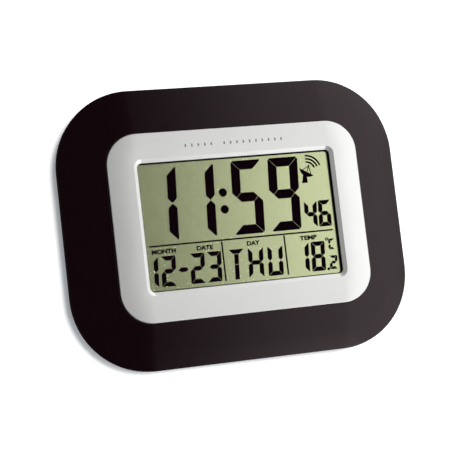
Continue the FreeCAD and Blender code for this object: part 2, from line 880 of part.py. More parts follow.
def screw(x, z, seat_y, length, radius, head_radius, head_height):
    """A pan-head screw with a cross recess, its head's seat at seat_y and its tip towards -Y."""
    shank = rod(x, z, radius, seat_y - length, seat_y)
    head = rod(x, z, head_radius, seat_y, seat_y + head_height)
    top_edges = [edge for edge in head.Edges if abs(edge.BoundBox.YMin - seat_y - head_height) < 1e-6
                 and abs(edge.BoundBox.YMax - seat_y - head_height) < 1e-6]
    head = head.makeFillet(head_height * 0.35, top_edges)
    arm = head_radius * 0.6
    blade = head_radius * 0.11
    depth = seat_y + head_height * 0.45
    high = seat_y + head_height
    cross = [box(x - arm, x + arm, depth, high, z - blade, z + blade),
             box(x - blade, x + blade, depth, high, z - arm, z + arm)]
    return shank.fuse(head).cut(cross)


def controller_chip():
    """The display controller under its round blob of black resin."""
    x, z = chip_x, (board_low_z + board_high_z) / 2
    dome_rise = chip_height * 0.7
    sphere_radius = (chip_radius ** 2 + dome_rise ** 2) / (2 * dome_rise)
    base_y = board_back_y + chip_height - dome_rise
    dome = Part.makeSphere(sphere_radius, vec(x, base_y + dome_rise - sphere_radius, z))
    dome = dome.common(rod(x, z, chip_radius, base_y, base_y + chip_height))
    return rod(x, z, chip_radius, board_back_y, base_y).fuse(dome).removeSplitter()


def quartz_crystal():
    z = board_low_z + crystal_radius + small_part_rise
    return rod_x_way(crystal_x, crystal_x + crystal_length, board_back_y + crystal_radius, z, crystal_radius)


def electrolytic_capacitor():
    z = board_low_z + capacitor_radius + small_part_rise
    return rod(capacitor_x, z, capacitor_radius, board_back_y, board_back_y + capacitor_height)


def thermistor():
    """A small bead on its two leads, close under the cover's slots."""
    z = board_low_z + small_part_rise
    bead_y = board_back_y + thermistor_stand
    bead = rod(thermistor_x, z, thermistor_radius, bead_y, bead_y + thermistor_length)
    legs = [rod(thermistor_x + side * thermistor_leg_spread, z, thermistor_leg_radius, board_back_y, bead_y)
            for side in (-1, 1)]
    return bead.fuse(legs)


def ferrite_rod():
    return rod_x_way(rod_x - rod_length / 2, rod_end_x, rod_y, rod_z, rod_radius)


def aerial_coil():
    half = coil_length / 2
    return rod_x_way(rod_x - half, rod_x + half, rod_y, rod_z, coil_radius).cut(
        rod_x_way(rod_x - half, rod_x + half, rod_y, rod_z, rod_radius))


def receiver_board():
    x = receiver_x
    half_w = receiver_width / 2
    half_h = receiver_height / 2
    plate = box(x - half_w, x + half_w, board_y, board_back_y, rod_z - half_h, rod_z + half_h)
    holes = [rod(px, pz, small_screw_radius + screw_hole_gap, board_y, board_back_y)
             for px, pz in receiver_posts()]
    return plate.cut(holes)


def receiver_chip():
    half = receiver_chip_size / 2
    return box(receiver_x - half, receiver_x + half, board_back_y, board_back_y + receiver_chip_height,
               rod_z - half, rod_z + half)


def bay_box(margin, y0, y1):
    half_w = bay_width / 2 + margin
    half_l = bay_length / 2 + margin
    return box(bay_centre_x - half_w, bay_centre_x + half_w, y0, y1, bay_centre_z - half_l,
               bay_centre_z + half_l)


def door_tab_places():
    return (bay_centre_x - door_tab_spread / 2, bay_centre_x + door_tab_spread / 2)


def rear_cover():
    shell = rounded_plate(cover_width, cover_height, cover_corner, -cover_depth, 0.0)
    rim = [edge for edge in shell.Edges if abs(edge.BoundBox.YMin) < 1e-6 and abs(edge.BoundBox.YMax) < 1e-6]
    shell = shell.makeFillet(cover_corner_round, rim)
    inner = (cover_width - 2 * cover_wall, cover_height - 2 * cover_wall, cover_corner - cover_wall)
    shell = shell.cut(rounded_plate(*inner, -cover_depth, -cover_wall))
    gap = cover_tongue_gap
    tongue_size = (cavity_width - 2 * gap, cavity_height - 2 * gap, cavity_corner - gap)
    tongue = rounded_tube(*tongue_size, cover_tongue, -cover_depth - cover_tongue_depth, -cover_depth)
    lap = gap + join_lap
    root_size = [size + 2 * lap for size in tongue_size[:2]] + [tongue_size[2] + lap]
    root = rounded_tube(*root_size, cover_tongue + lap, -cover_depth, -cover_depth + cover_tongue_root)
    adds = [tongue, root]
    post_radius_outer = screw_well_radius + boss_rib / 2
    for x, z in boss_places():
        adds.append(rod(x, z, post_radius_outer, boss_end_y, -cover_wall))
    adds.append(bay_box(bay_wall, bay_floor_y - bay_wall, -cover_wall))
    pad = door_lap + door_rim_wall
    adds.append(bay_box(pad, -(door_thickness + bay_wall), -cover_wall))
    half_w = stand_width / 2 + stand_gap
    recess_low = stand_hinge_z - stand_thickness / 2 - stand_gap
    recess_high = stand_tip_z + stand_gap
    wall = stand_recess_wall
    wedge_drop = stand_wedge_drop
    adds.append(box(-half_w - wall, half_w + wall, stand_recess_y - wall, -cover_wall,
                    recess_low - wedge_drop - wall, recess_high + wall))
    body = shell.fuse(adds)
    cuts = [bay_box(0.0, bay_floor_y, 0.0)]
    cuts.append(bay_box(door_lap + door_gap, -door_thickness, 0.0))
    tab_half = door_tab_width / 2 + door_gap
    for x in door_tab_places():
        notch_y = -(door_thickness + door_tab_thickness + 2 * door_gap)
        cuts.append(box(x - tab_half, x + tab_half, notch_y, -door_thickness,
                        door_low_z - door_tab_length - 2 * door_gap, bay_centre_z - bay_length / 2))
    cuts.append(box(-half_w, half_w, stand_recess_y, 0.0, recess_low, recess_high))
    wedge = [vec(-half_w, stand_recess_y, recess_low), vec(-half_w, 0.0, recess_low),
             vec(-half_w, 0.0, recess_low - wedge_drop)]
    cuts.append(Part.Face(Part.makePolygon(wedge + wedge[:1])).extrude(vec(2 * half_w, 0, 0)))
    pin_reach = half_w + wall + join_lap
    pin_bore = stand_pin_radius + stand_pin_gap
    cuts.append(rod_x_way(-pin_reach, pin_reach, stand_hinge_y, stand_hinge_z, pin_bore))
    cuts.append(rod(0.0, stand_tip_z, stand_finger_radius, -stand_finger_depth, 0.0))
    for x, z in boss_places():
        cuts.append(rod(x, z, screw_well_radius, -screw_seat, 0.0))
        cuts.append(rod(x, z, screw_radius + screw_hole_gap, boss_end_y, -screw_seat))
    cuts += keyhole_cut()
    for index in range(button_count):
        z = button_first_z - index * button_pitch
        cuts.append(rod(button_column_x, z, button_radius + button_gap, -cover_wall, 0.0))
    for index in range(vent_count):
        z = vent_low_z + index * vent_pitch
        cuts.append(rounded_plate(vent_length, vent_width, vent_width * 0.49, -cover_wall, 0.0, vent_x, z))
    return body.cut(cuts)


def keyhole_cut():
    slot_half = keyhole_slot_width / 2
    z = hook_rise
    return [rod(0.0, z, keyhole_radius, -cover_wall, 0.0),
            box(-slot_half, slot_half, -cover_wall, 0.0, z, z + keyhole_slot_rise),
            rod(0.0, z + keyhole_slot_rise, slot_half, -cover_wall, 0.0)]


def battery_door():
    plate = bay_box(door_lap, -door_thickness, 0.0)
    parts = []
    inside_y = -(door_thickness + door_tab_thickness)
    half = door_tab_width / 2
    for x in door_tab_places():
        parts.append(box(x - half, x + half, inside_y, -door_thickness, door_low_z + door_tab_root,
                         door_low_z + 2 * door_tab_root))
        parts.append(box(x - half, x + half, inside_y, -door_thickness - door_tab_play,
                         door_low_z - door_tab_length, door_low_z + door_tab_root))
    latch_z = bay_centre_z + bay_length / 2 - door_latch_clear
    latch_half = door_latch_width / 2
    parts.append(box(bay_centre_x - latch_half, bay_centre_x + latch_half, -door_thickness - door_latch_depth,
                     -door_thickness, latch_z - door_latch_wall, latch_z))
    body = plate.fuse(parts)
    grooves = []
    grip_half = door_grip_width / 2
    for index in range(door_grip_ridges):
        z = door_high_z - door_grip_drop - index * door_grip_pitch
        grooves.append(box(bay_centre_x - grip_half, bay_centre_x + grip_half, -door_grip_depth, 0.0,
                           z - door_grip_groove / 2, z + door_grip_groove / 2))
    return body.cut(grooves)


def cells():
    """The two cells' axes and which way each one points."""
    return ((bay_centre_x - cell_pitch / 2, 1), (bay_centre_x + cell_pitch / 2, -1))


def battery(x, way):
    end = bay_length / 2 - bay_plate_room
    base = vec(x, cell_y, bay_centre_z + way * end)
    down = vec(0, 0, -way)
    tip = Part.makeCylinder(cell_tip_radius, cell_tip_height, base, down)
    body = Part.makeCylinder(cell_radius, cell_length, base + down * cell_tip_height, down)
    return body.fuse(tip).removeSplitter()


def battery_plates():
    half = contact_width / 2
    plates = []
    thick = contact_thickness
    top = bay_centre_z + bay_length / 2
    low = bay_centre_z - bay_length / 2
    for x, _ in cells():
        plates.append(box(x - half, x + half, cell_y - half, cell_y + half, top - thick, top))
    plates.append(box(cells()[0][0] - half, cells()[1][0] + half, cell_y - half, cell_y + half, low,
                      low + thick))
    return Part.makeCompound(plates)


def spring(x, way):
    """A coil spring between the contact plate and the flat end of a cell, in half-turn arcs."""
    start = bay_centre_z - way * (bay_length / 2 - contact_thickness - spring_wire)
    length = bay_spring_room - contact_thickness - 2 * spring_wire - spring_end_gap
    edges = []
    halves = int(2 * spring_turns)
    for index in range(halves):
        points = []
        for part in (0, 0.5, 1):
            turn = index + part
            angle = math.pi * turn
            points.append(vec(x + spring_radius * math.cos(angle), cell_y + spring_radius * math.sin(angle),
                              start + way * length * turn / halves))
        edges.append(Part.Arc(*points).toShape())
    path = Part.Wire(edges)
    tangent = edges[0].tangentAt(edges[0].FirstParameter)
    circle = Part.Wire(Part.makeCircle(spring_wire, edges[0].Vertexes[0].Point, tangent))
    return path.makePipeShell([circle], True, False)


def battery_springs():
    return Part.makeCompound([spring(x, way) for x, way in cells()])


def table_stand():
    half = stand_width / 2
    low_y = stand_hinge_y - stand_thickness / 2
    high_y = stand_hinge_y + stand_thickness / 2
    plate = box(-half, half, low_y, high_y, stand_hinge_z, stand_tip_z)
    heel = rod_x_way(-half, half, stand_hinge_y, stand_hinge_z, stand_thickness / 2)
    reach = half + stand_gap + stand_recess_wall
    pins = rod_x_way(-reach, reach, stand_hinge_y, stand_hinge_z, stand_pin_radius)
    margin = stand_window_margin
    width = stand_width - 2 * margin
    height = stand_length - 2.5 * margin
    pocket_y = high_y - stand_pocket_depth
    pocket_z = stand_hinge_z + margin + height / 2
    pocket = rounded_plate(width, height, stand_pocket_corner, pocket_y, high_y, 0.0, pocket_z)
    upright = [edge for edge in plate.Edges if abs(edge.BoundBox.ZMin - stand_tip_z) < 1e-6
               and edge.BoundBox.XLength < 1e-6]
    plate = plate.makeFillet(stand_corner, upright)
    return plate.fuse([heel, pins]).cut(pocket)


def button(index):
    z = button_first_z - index * button_pitch
    x = button_column_x
    flange_y = -cover_wall - switch_play
    cap = rod(x, z, button_radius, flange_y, -button_sink)
    top_edges = [edge for edge in cap.Edges if abs(edge.BoundBox.YMin + button_sink) < 1e-6]
    cap = cap.makeFillet(button_edge_round, top_edges)
    flange = rod(x, z, button_radius + button_flange, flange_y - button_flange_height, flange_y)
    stem = rod(x, z, button_stem_radius, button_front_y, flange_y - button_flange_height)
    return cap.fuse([flange, stem]).removeSplitter()


def button_switches():
    """The bodies of the push switches. Each one's plunger is the tip of its button's stem."""
    half = switch_size / 2
    bodies = []
    for index in range(button_count):
        z = button_first_z - index * button_pitch
        x = button_column_x
        body = box(x - half, x + half, board_back_y, switch_top_y, z - half, z + half)
        bore = rod(x, z, button_stem_radius + stem_gap, switch_top_y - switch_bore_depth, switch_top_y)
        bodies.append(body.cut(bore))
    return Part.makeCompound(bodies)


def main():
    os.makedirs("parts", exist_ok=True)
    pieces = [outer_frame, bezel, lens, lcd_gasket, front_polarizer, lcd_front_glass, lcd_edge_seal,
              lcd_segments, lcd_rear_glass, lcd_reflector, lcd_holder, zebra_strip, main_board, board_screws,
              holder_screws, cover_screws, controller_chip, quartz_crystal, electrolytic_capacitor,
              thermistor, ferrite_rod, aerial_coil, receiver_board, receiver_chip, rear_cover,
              battery_door, battery_plates, battery_springs, table_stand, button_switches]
    for piece in pieces:
        save(piece.__name__, piece())
    for number, (x, way) in enumerate(cells(), start=1):
        save("battery_%d" % number, battery(x, way))
    for index in range(button_count):
        save("button_%d" % (index + 1), button(index))


main()
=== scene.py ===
import math

import bpy
from mathutils import Matrix, Vector


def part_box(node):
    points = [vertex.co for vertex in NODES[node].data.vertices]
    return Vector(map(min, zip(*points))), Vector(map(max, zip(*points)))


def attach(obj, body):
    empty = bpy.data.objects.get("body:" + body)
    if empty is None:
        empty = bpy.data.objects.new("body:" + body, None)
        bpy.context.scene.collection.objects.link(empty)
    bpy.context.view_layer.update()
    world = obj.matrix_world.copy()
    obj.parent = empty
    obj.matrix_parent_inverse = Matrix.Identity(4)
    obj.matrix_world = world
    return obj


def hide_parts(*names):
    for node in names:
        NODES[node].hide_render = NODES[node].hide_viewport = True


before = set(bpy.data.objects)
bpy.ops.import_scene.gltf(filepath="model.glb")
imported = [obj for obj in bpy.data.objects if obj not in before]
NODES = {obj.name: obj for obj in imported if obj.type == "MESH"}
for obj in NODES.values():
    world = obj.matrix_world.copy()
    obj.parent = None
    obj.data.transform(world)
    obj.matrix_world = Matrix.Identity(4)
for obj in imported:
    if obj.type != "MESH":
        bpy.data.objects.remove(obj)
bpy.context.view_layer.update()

MM = 0.001

# The camera: place in metres, heading to the right, tilt up and roll in degrees, lens and sensor in mm
CAMERA_PLACE = (-0.2612, -0.8490, -0.1117)
CAMERA_HEADING = 16.97
CAMERA_TILT = 4.42
CAMERA_ROLL = -6.61
CAMERA_LENS = 105.6
CAMERA_SENSOR = 36.0
CAMERA_NEAR = 0.05
CAMERA_FAR = 20.0

# How bright the room is round the clock, by the angle in degrees that a direction leans to the right
ROOM_LEVELS = ((-90, 0.3), (-60, 0.12), (-40, 0.02), (13, 0.0), (14.3, 0.03), (15.7, 0.17), (17.1, 0.38),
               (18.7, 0.62), (20.4, 0.8), (22, 0.87), (24, 0.93), (62, 0.93), (72, 0.7), (90, 0.7))
# How much brighter it is high up and low down, by the height of a direction from -1 to 1
ROOM_HEIGHTS = ((-1, 2.0), (-0.82, 2.0), (-0.62, 1), (0.8, 1), (0.95, 2.0), (1, 2.0))
ROOM_STRENGTH = 1.1

# The suns: name, the way that the light goes, strength, and width in degrees
SUNS = (("key", (-0.13, 0.97, -0.13), 2.6, 20.0), ("back_left", (0.5, -0.75, -0.45), 3.0, 30.0))

# The stage in metres: how far the wall and the floor reach, the floor's height and the wall's face
STAGE_REACH = 1.6
FLOOR_Z = -0.7
WALL_Y = 0.0004
BACKDROP_COLOUR = (1.0, 1.0, 1.0, 1.0)
BACKDROP_GLOW = (0.285, 0.3, 0.315, 1.0)

# How far printed layers stand clear of the face under them, in metres
MARK_LIFT = 0.00004
LABEL_LIFT = 1.5 * MARK_LIFT
PRINT_LIFT = 0.00003

# Words on the display: text, left end and right end in mm from the window's middle
LABELS = (("MONTH", -61.3, -45.4), ("DATE", -31.6, -20.6), ("DAY", 2.3, 11.2), ("TEMP", 38.9, 50.9))
LABEL_LOW_Z = -17.2
LABEL_HEIGHT = 3.0
LABEL_WEIGHT = 0.14
LABEL_DEPTH = 0.01

# The printed ticks on the bezel in mm: the one at TICK_GAP is left out, and each follows the curved face
TICK_COUNT = 16
TICK_GAP = 5
TICK_PITCH = 4.35
TICK_HEIGHT = 1.9
TICK_WIDTH = 0.9
TICK_INSET = 10.05
TICK_STEPS = 5

# The bezel's face in mm: it rises by this much to the inset where it is level
BEZEL_LEVEL_INSET = 16.85
BEZEL_RISE = 1.6

# The printed signs on the five buttons: how many corners, and where the first one points, in degrees
BUTTON_SIGNS = ((3, 90), (3, 270), (32, 0), (4, 45), (4, 0))
SIGN_RADIUS = 1.7

# Each cell's jacket along its length, in metres: bare ends, and the light band at the tip's end
CELL_BASE = 0.0012
CELL_SHOULDER = 0.0024
CELL_BAND = 0.015

# How far the last band of a banded surface is drawn past its start, in metres
LAST_BAND = 0.01

# Surfaces: scales per metre, how many steps finer a noise goes, and depths and pitches in metres
CLOUD_SCALE = 60.0
GLOSS_SCALE = 240.0
GRAIN_SCALE = 2500.0
GRAIN_DEPTH = 0.0001
CLOUD_DETAIL = 3.0
FINE_DETAIL = 2.0
BOARD_SCALE = 240.0
BOARD_RUN_EDGE = 0.42
BOARD_RUN_DEPTH = 0.00004
BOARD_ROUGH = 0.35
STRIP_PITCH = 0.0004
WINDING_PITCH = 0.0005
STRIPE_BUMP = 0.6
BOARD_BUMP = 0.3
JACKET_ROUGH = 0.25

# The clear sheet: how fast its mirror grows aslant, the share that is taken off, the gain, and the look
SHEET_BLEND = 0.2
SHEET_START = 0.03
SHEET_GAIN = 0.7
SHEET_MIRROR = 0.8
SHEET_ROUGH = 0.03


def srgb(red, green, blue):
    """A colour given as 0 to 255 values on screen, as the linear values that shaders take."""
    def linear(value):
        share = value / 255
        return share / 12.92 if share <= 0.04045 else ((share + 0.055) / 1.055) ** 2.4
    return (linear(red), linear(green), linear(blue), 1.0)


def grey(level):
    """One linear level in all three channels."""
    return (level, level, level, 1.0)


# The colours, as they are in even white light; the tint is that of what the frame mirrors
WHITE = grey(1.0)
FRAME_BROWN = srgb(17, 6, 10)
FRAME_TINT = (1.0, 0.84, 0.86, 1.0)
SILVER = srgb(246, 246, 244)
LCD_GREEN = srgb(213, 221, 173)
LCD_INK = srgb(12, 4, 9)
PRINT_GREY = srgb(110, 110, 112)
PRINT_WHITE = srgb(206, 206, 202)
BOARD_GREEN = srgb(20, 74, 42)
BOARD_RUN = srgb(38, 104, 60)
CELL_METAL = srgb(200, 200, 198)
CELL_JACKET = srgb(36, 38, 44)
CELL_TIP = srgb(196, 150, 70)


class Nodes:
    """A short way to build one material's or world's nodes."""

    def __init__(self, tree):
        self.tree = tree
        tree.nodes.clear()

    def add(self, kind, **values):
        node = self.tree.nodes.new(kind)
        for name, value in values.items():
            setattr(node, name, value)
        return node

    def link(self, source, target):
        self.tree.links.new(source, target)

    def math(self, operation, *values):
        node = self.add("ShaderNodeMath", operation=operation)
        for index, value in enumerate(values):
            if isinstance(value, (int, float)):
                node.inputs[index].default_value = value
            else:
                self.link(value, node.inputs[index])
        return node.outputs[0]

    def ramp(self, value, stops, kind="LINEAR"):
        node = self.add("ShaderNodeValToRGB")
        node.color_ramp.interpolation = kind
        elements = node.color_ramp.elements
        elements.remove(elements[1])
        elements[0].position = stops[0][0]
        elements[0].color = stops[0][1]
        for place, colour in stops[1:]:
            elements.new(place).color = colour
        self.link(value, node.inputs[0])
        return node.outputs[0]

    def mix(self, share, first, second):
        node = self.add("ShaderNodeMixShader")
        for index, value in enumerate((share, first, second)):
            self.link(value, node.inputs[index])
        return node.outputs[0]

    def object_place(self):
        return self.add("ShaderNodeTexCoord").outputs["Object"]

    def object_axis(self, axis):
        split = self.add("ShaderNodeSeparateXYZ")
        self.link(self.object_place(), split.inputs[0])
        return split.outputs[axis]

    def noise(self, scale, detail):
        node = self.add("ShaderNodeTexNoise")
        node.inputs["Scale"].default_value = scale
        node.inputs["Detail"].default_value = detail
        self.link(self.object_place(), node.inputs["Vector"])
        return node.outputs["Fac"]

    def bump(self, height, strength, distance):
        node = self.add("ShaderNodeBump")
        node.inputs["Strength"].default_value = strength
        node.inputs["Distance"].default_value = distance
        self.link(height, node.inputs["Height"])
        return node.outputs[0]


def new_material(name):
    """An empty material and its nodes."""
    material = bpy.data.materials.new(name)
    material.use_nodes = True
    return material, Nodes(material.node_tree)


def plain_surface(name, rough, metallic):
    """A new material with one solid surface, which the caller colours."""
    material, n = new_material(name)
    surface = n.add("ShaderNodeBsdfPrincipled")
    surface.inputs["Roughness"].default_value = rough
    surface.inputs["Metallic"].default_value = metallic
    n.link(surface.outputs[0], n.add("ShaderNodeOutputMaterial").inputs[0])
    return material, n, surface


def shell_material(name, colour, rough, metallic=0.0, specular=0.5, grain=0.0, grain_scale=GRAIN_SCALE,
                   shade=0.04, rough_spread=0.06, tint=WHITE):
    """Moulded plastic, metal or paint: a base colour with slight cloudiness, uneven gloss and fine grain."""
    material, n, surface = plain_surface(name, rough, metallic)
    surface.inputs["Specular IOR Level"].default_value = specular
    surface.inputs["Specular Tint"].default_value = tint
    dark_layers_or_groove_shade = tuple(c * (1 - shade) for c in colour[:3]) + (1.0,)
    light = tuple(min(1.0, c * (1 + shade)) for c in colour[:3]) + (1.0,)
    clouds = n.noise(CLOUD_SCALE, CLOUD_DETAIL)
    n.link(n.ramp(clouds, ((0.3, dark_layers_or_groove_shade), (0.7, light))), surface.inputs["Base Color"])
    gloss = n.noise(GLOSS_SCALE, FINE_DETAIL)
    uneven = n.math("MULTIPLY_ADD", gloss, rough_spread, rough - rough_spread / 2)
    n.link(uneven, surface.inputs["Roughness"])
    if grain:
        grains = n.noise(grain_scale, FINE_DETAIL)
        n.link(n.bump(grains, grain, GRAIN_DEPTH), surface.inputs["Normal"])
    return material


def clear_material(name):
    """A clear sheet: nearly all light passes, and it mirrors where it is seen aslant."""
    material, n = new_material(name)
    mirror = n.add("ShaderNodeBsdfGlossy")
    mirror.inputs["Color"].default_value = grey(SHEET_MIRROR)
    mirror.inputs["Roughness"].default_value = SHEET_ROUGH
    through = n.add("ShaderNodeBsdfTransparent")
    through.inputs[0].default_value = WHITE
    weight = n.add("ShaderNodeLayerWeight")
    weight.inputs["Blend"].default_value = SHEET_BLEND
    aslant = n.math("MAXIMUM", n.math("SUBTRACT", weight.outputs["Fresnel"], SHEET_START), 0.0)
    both = n.mix(n.math("MULTIPLY", aslant, SHEET_GAIN), through.outputs[0], mirror.outputs[0])
    n.link(both, n.add("ShaderNodeOutputMaterial").inputs[0])
    return material


def banded_material(name, axis, bands, rough):
    """Plain bands of colour along one axis, given as (start in metres, colour)."""
    material, n, surface = plain_surface(name, rough, 0.0)
    start = bands[0][0]
    span = bands[-1][0] - start + LAST_BAND
    place = n.math("MULTIPLY_ADD", n.object_axis(axis), 1 / span, -start / span)
    stops = [(max(0.0, (at - start) / span), colour) for at, colour in bands]
    n.link(n.ramp(place, stops, "CONSTANT"), surface.inputs["Base Color"])
    return material


def striped_material(name, pitch, light, dark_layers_or_groove_shade, rough, metallic=0.0):
    """Fine even stripes from left to right: windings, whose dark stripes are painted shade in the grooves
    between the wires, or the layers of a contact strip, whose dark stripes are its own colour.
    """
    material, n, surface = plain_surface(name, rough, metallic)
    wave = n.math("SINE", n.math("MULTIPLY", n.object_axis(0), 2 * math.pi / pitch))
    height = n.math("MULTIPLY_ADD", wave, 0.5, 0.5)
    # Dark where the surface is low: painted shade in the grooves for windings, the real dark layers for a
    # contact strip.
    n.link(n.ramp(height, ((0.0, dark_layers_or_groove_shade), (0.6, light))), surface.inputs["Base Color"])
    n.link(n.bump(height, STRIPE_BUMP, pitch / 4), surface.inputs["Normal"])
    return material


def board_material(name):
    """Green solder mask with the faint, slightly raised runs of copper under it."""
    material, n, surface = plain_surface(name, BOARD_ROUGH, 0.0)
    cells = n.add("ShaderNodeTexVoronoi", distance="CHEBYCHEV")
    cells.inputs["Scale"].default_value = BOARD_SCALE
    n.link(n.object_place(), cells.inputs["Vector"])
    runs = n.math("GREATER_THAN", cells.outputs["Distance"], BOARD_RUN_EDGE)
    n.link(n.ramp(runs, ((0.0, BOARD_GREEN), (1.0, BOARD_RUN))), surface.inputs["Base Color"])
    n.link(n.bump(runs, BOARD_BUMP, BOARD_RUN_DEPTH), surface.inputs["Normal"])
    return material


def cell_material(name, way):
    """A plain dry cell: dark jacket, a light band towards the tip, and bare metal ends."""
    low, high = (corner[2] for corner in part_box(name))
    if way > 0:
        bands = ((low, CELL_METAL), (low + CELL_BASE, CELL_JACKET),
                 (high - CELL_BAND, CELL_TIP), (high - CELL_SHOULDER, CELL_METAL))
    else:
        bands = ((low, CELL_METAL), (low + CELL_SHOULDER, CELL_TIP),
                 (low + CELL_BAND, CELL_JACKET), (high - CELL_BASE, CELL_METAL))
    return banded_material(name + "_jacket", 2, bands, JACKET_ROUGH)


def make_camera():
    """The camera that took the photo: in front, to the left of and below the clock."""
    data = bpy.data.cameras.new("photo_camera")
    data.lens = CAMERA_LENS
    data.sensor_width = CAMERA_SENSOR
    data.clip_start = CAMERA_NEAR
    data.clip_end = CAMERA_FAR
    camera = bpy.data.objects.new("photo_camera", data)
    turn = Matrix.Rotation(math.radians(-CAMERA_HEADING), 4, "Z")
    turn = turn @ Matrix.Rotation(math.radians(90 + CAMERA_TILT), 4, "X")
    turn = turn @ Matrix.Rotation(math.radians(CAMERA_ROLL), 4, "Z")
    camera.matrix_world = Matrix.Translation(CAMERA_PLACE) @ turn
    bpy.context.scene.collection.objects.link(camera)
    bpy.context.scene.camera = camera


def make_world():
    """White behind everything. All that lights the clock is dim on its left and bright on its right."""
    world = bpy.data.worlds.new("studio")
    bpy.context.scene.world = world
    world.use_nodes = True
    n = Nodes(world.node_tree)
    split = n.add("ShaderNodeSeparateXYZ")
    n.link(n.add("ShaderNodeTexCoord").outputs["Generated"], split.inputs[0])
    lean = n.math("MULTIPLY_ADD", n.math("ARCSINE", split.outputs[0]), 1 / math.pi, 0.5)
    height = n.math("MULTIPLY_ADD", split.outputs[2], 0.5, 0.5)
    levels = [(degrees / 180 + 0.5, grey(level)) for degrees, level in ROOM_LEVELS]
    gains = [(z / 2 + 0.5, grey(gain)) for z, gain in ROOM_HEIGHTS]
    lit = n.add("ShaderNodeBackground")
    n.link(n.ramp(lean, levels), lit.inputs[0])
    n.link(n.math("MULTIPLY", n.ramp(height, gains), ROOM_STRENGTH), lit.inputs[1])
    seen = n.add("ShaderNodeBackground")
    seen.inputs[0].default_value = WHITE
    ray = n.add("ShaderNodeLightPath")
    both = n.mix(ray.outputs["Is Camera Ray"], lit.outputs[0], seen.outputs[0])
    n.link(both, n.add("ShaderNodeOutputWorld").inputs[0])


def make_suns():
    """A broad light from the front for the shadow on the wall, and one from behind for the back views."""
    for name, direction, strength, width in SUNS:
        data = bpy.data.lights.new(name, "SUN")
        data.energy = strength
        data.angle = math.radians(width)
        sun = bpy.data.objects.new(name, data)
        sun.rotation_mode = "QUATERNION"
        sun.rotation_quaternion = Vector(direction).to_track_quat("-Z", "Y")
        sun.visible_glossy = False
        bpy.context.scene.collection.objects.link(sun)


def backdrop_material():
    """White for the camera in front of it. All other rays pass, so that it throws no light on the clock."""
    material, n = new_material("backdrop_white")
    white = n.add("ShaderNodeBsdfDiffuse")
    white.inputs[0].default_value = BACKDROP_COLOUR
    glow = n.add("ShaderNodeEmission")
    glow.inputs[0].default_value = BACKDROP_GLOW
    lit = n.add("ShaderNodeAddShader")
    n.link(white.outputs[0], lit.inputs[0])
    n.link(glow.outputs[0], lit.inputs[1])
    clear = n.add("ShaderNodeBsdfTransparent")
    ray = n.add("ShaderNodeLightPath")
    front = n.math("SUBTRACT", 1.0, n.add("ShaderNodeNewGeometry").outputs["Backfacing"])
    share = n.math("MULTIPLY", front, ray.outputs["Is Camera Ray"])
    both = n.mix(share, clear.outputs[0], lit.outputs[0])
    n.link(both, n.add("ShaderNodeOutputMaterial").inputs[0])
    return material


def make_stage():
    """A white wall right behind the clock and a pale floor well below."""
    left, right = -STAGE_REACH, STAGE_REACH
    sheets = (("wall", [(left, WALL_Y, FLOOR_Z), (right, WALL_Y, FLOOR_Z),
                        (right, WALL_Y, STAGE_REACH), (left, WALL_Y, STAGE_REACH)]),
              ("floor", [(left, -2 * STAGE_REACH, FLOOR_Z), (right, -2 * STAGE_REACH, FLOOR_Z),
                         (right, STAGE_REACH, FLOOR_Z), (left, STAGE_REACH, FLOOR_Z)]))
    white = backdrop_material()
    for name, corners in sheets:
        mesh = bpy.data.meshes.new(name)
        mesh.from_pydata(corners, [], [tuple(range(len(corners)))])
        mesh.materials.append(white)
        sheet = bpy.data.objects.new(name, mesh)
        bpy.context.scene.collection.objects.link(sheet)


def paint(names, material):
    """Give the named pieces of the part one material."""
    for name in names:
        for place in NODES[name].material_slots:
            place.material = material


def own_piece(name, mesh, material, body="clock_body"):
    """A printed or seen piece of its own, which moves with a body of the part."""
    mesh.materials.clear()
    mesh.materials.append(material)
    piece = bpy.data.objects.new(name, mesh)
    bpy.context.scene.collection.objects.link(piece)
    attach(piece, body)
    return piece


def display_front():
    """Where the picture seems to lie: the front of the display glass."""
    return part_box("front_polarizer")[0][1]


def make_display_marks(ink):
    """The display's dark marks, lifted to the glass front, where the eye sees them."""
    mesh = NODES["lcd_segments"].data.copy()
    lift = display_front() - MARK_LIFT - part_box("lcd_segments")[1][1]
    mesh.transform(Matrix.Translation((0.0, lift, 0.0)))
    marks = own_piece("display_marks", mesh, ink)
    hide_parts("lcd_segments")


def word_mesh(text, width):
    """Flat letters in the built-in face, upright on XZ from the origin, stretched to a width in mm."""
    curve = bpy.data.curves.new("word", "FONT")
    curve.body = text
    curve.offset = LABEL_WEIGHT / LABEL_HEIGHT
    curve.extrude = LABEL_DEPTH
    source = bpy.data.objects.new("word", curve)
    bpy.context.scene.collection.objects.link(source)
    bpy.context.view_layer.update()
    mesh = bpy.data.meshes.new_from_object(source.evaluated_get(bpy.context.evaluated_depsgraph_get()))
    bpy.data.objects.remove(source)
    low = Vector([min(v.co[axis] for v in mesh.vertices) for axis in range(3)])
    high = Vector([max(v.co[axis] for v in mesh.vertices) for axis in range(3)])
    size = (width * MM / (high.x - low.x), LABEL_HEIGHT * MM / (high.y - low.y), MM, 1.0)
    upright = Matrix.Rotation(math.radians(90), 4, "X")
    mesh.transform(upright @ Matrix.Diagonal(size) @ Matrix.Translation(-low))
    return mesh


def make_labels(ink):
    """The small words over the lower row, generic for a calendar and a thermometer."""
    low_z = sum(corner[2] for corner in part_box("lens")) / 2 + LABEL_LOW_Z * MM
    for text, left, right in LABELS:
        mesh = word_mesh(text, right - left)
        mesh.transform(Matrix.Translation((left * MM, display_front() - LABEL_LIFT, low_z)))
        own_piece("display_label_" + text.lower(), mesh, ink)


def bezel_face_y(inset):
    """The y of the bezel's face at an inset from its outer edge: an arc, level where the bevel starts."""
    level_inset = BEZEL_LEVEL_INSET * MM
    rise = BEZEL_RISE * MM
    radius = (level_inset ** 2 + rise ** 2) / (2 * rise)
    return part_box("bezel")[0][1] + radius - math.sqrt(radius ** 2 - (level_inset - inset) ** 2)


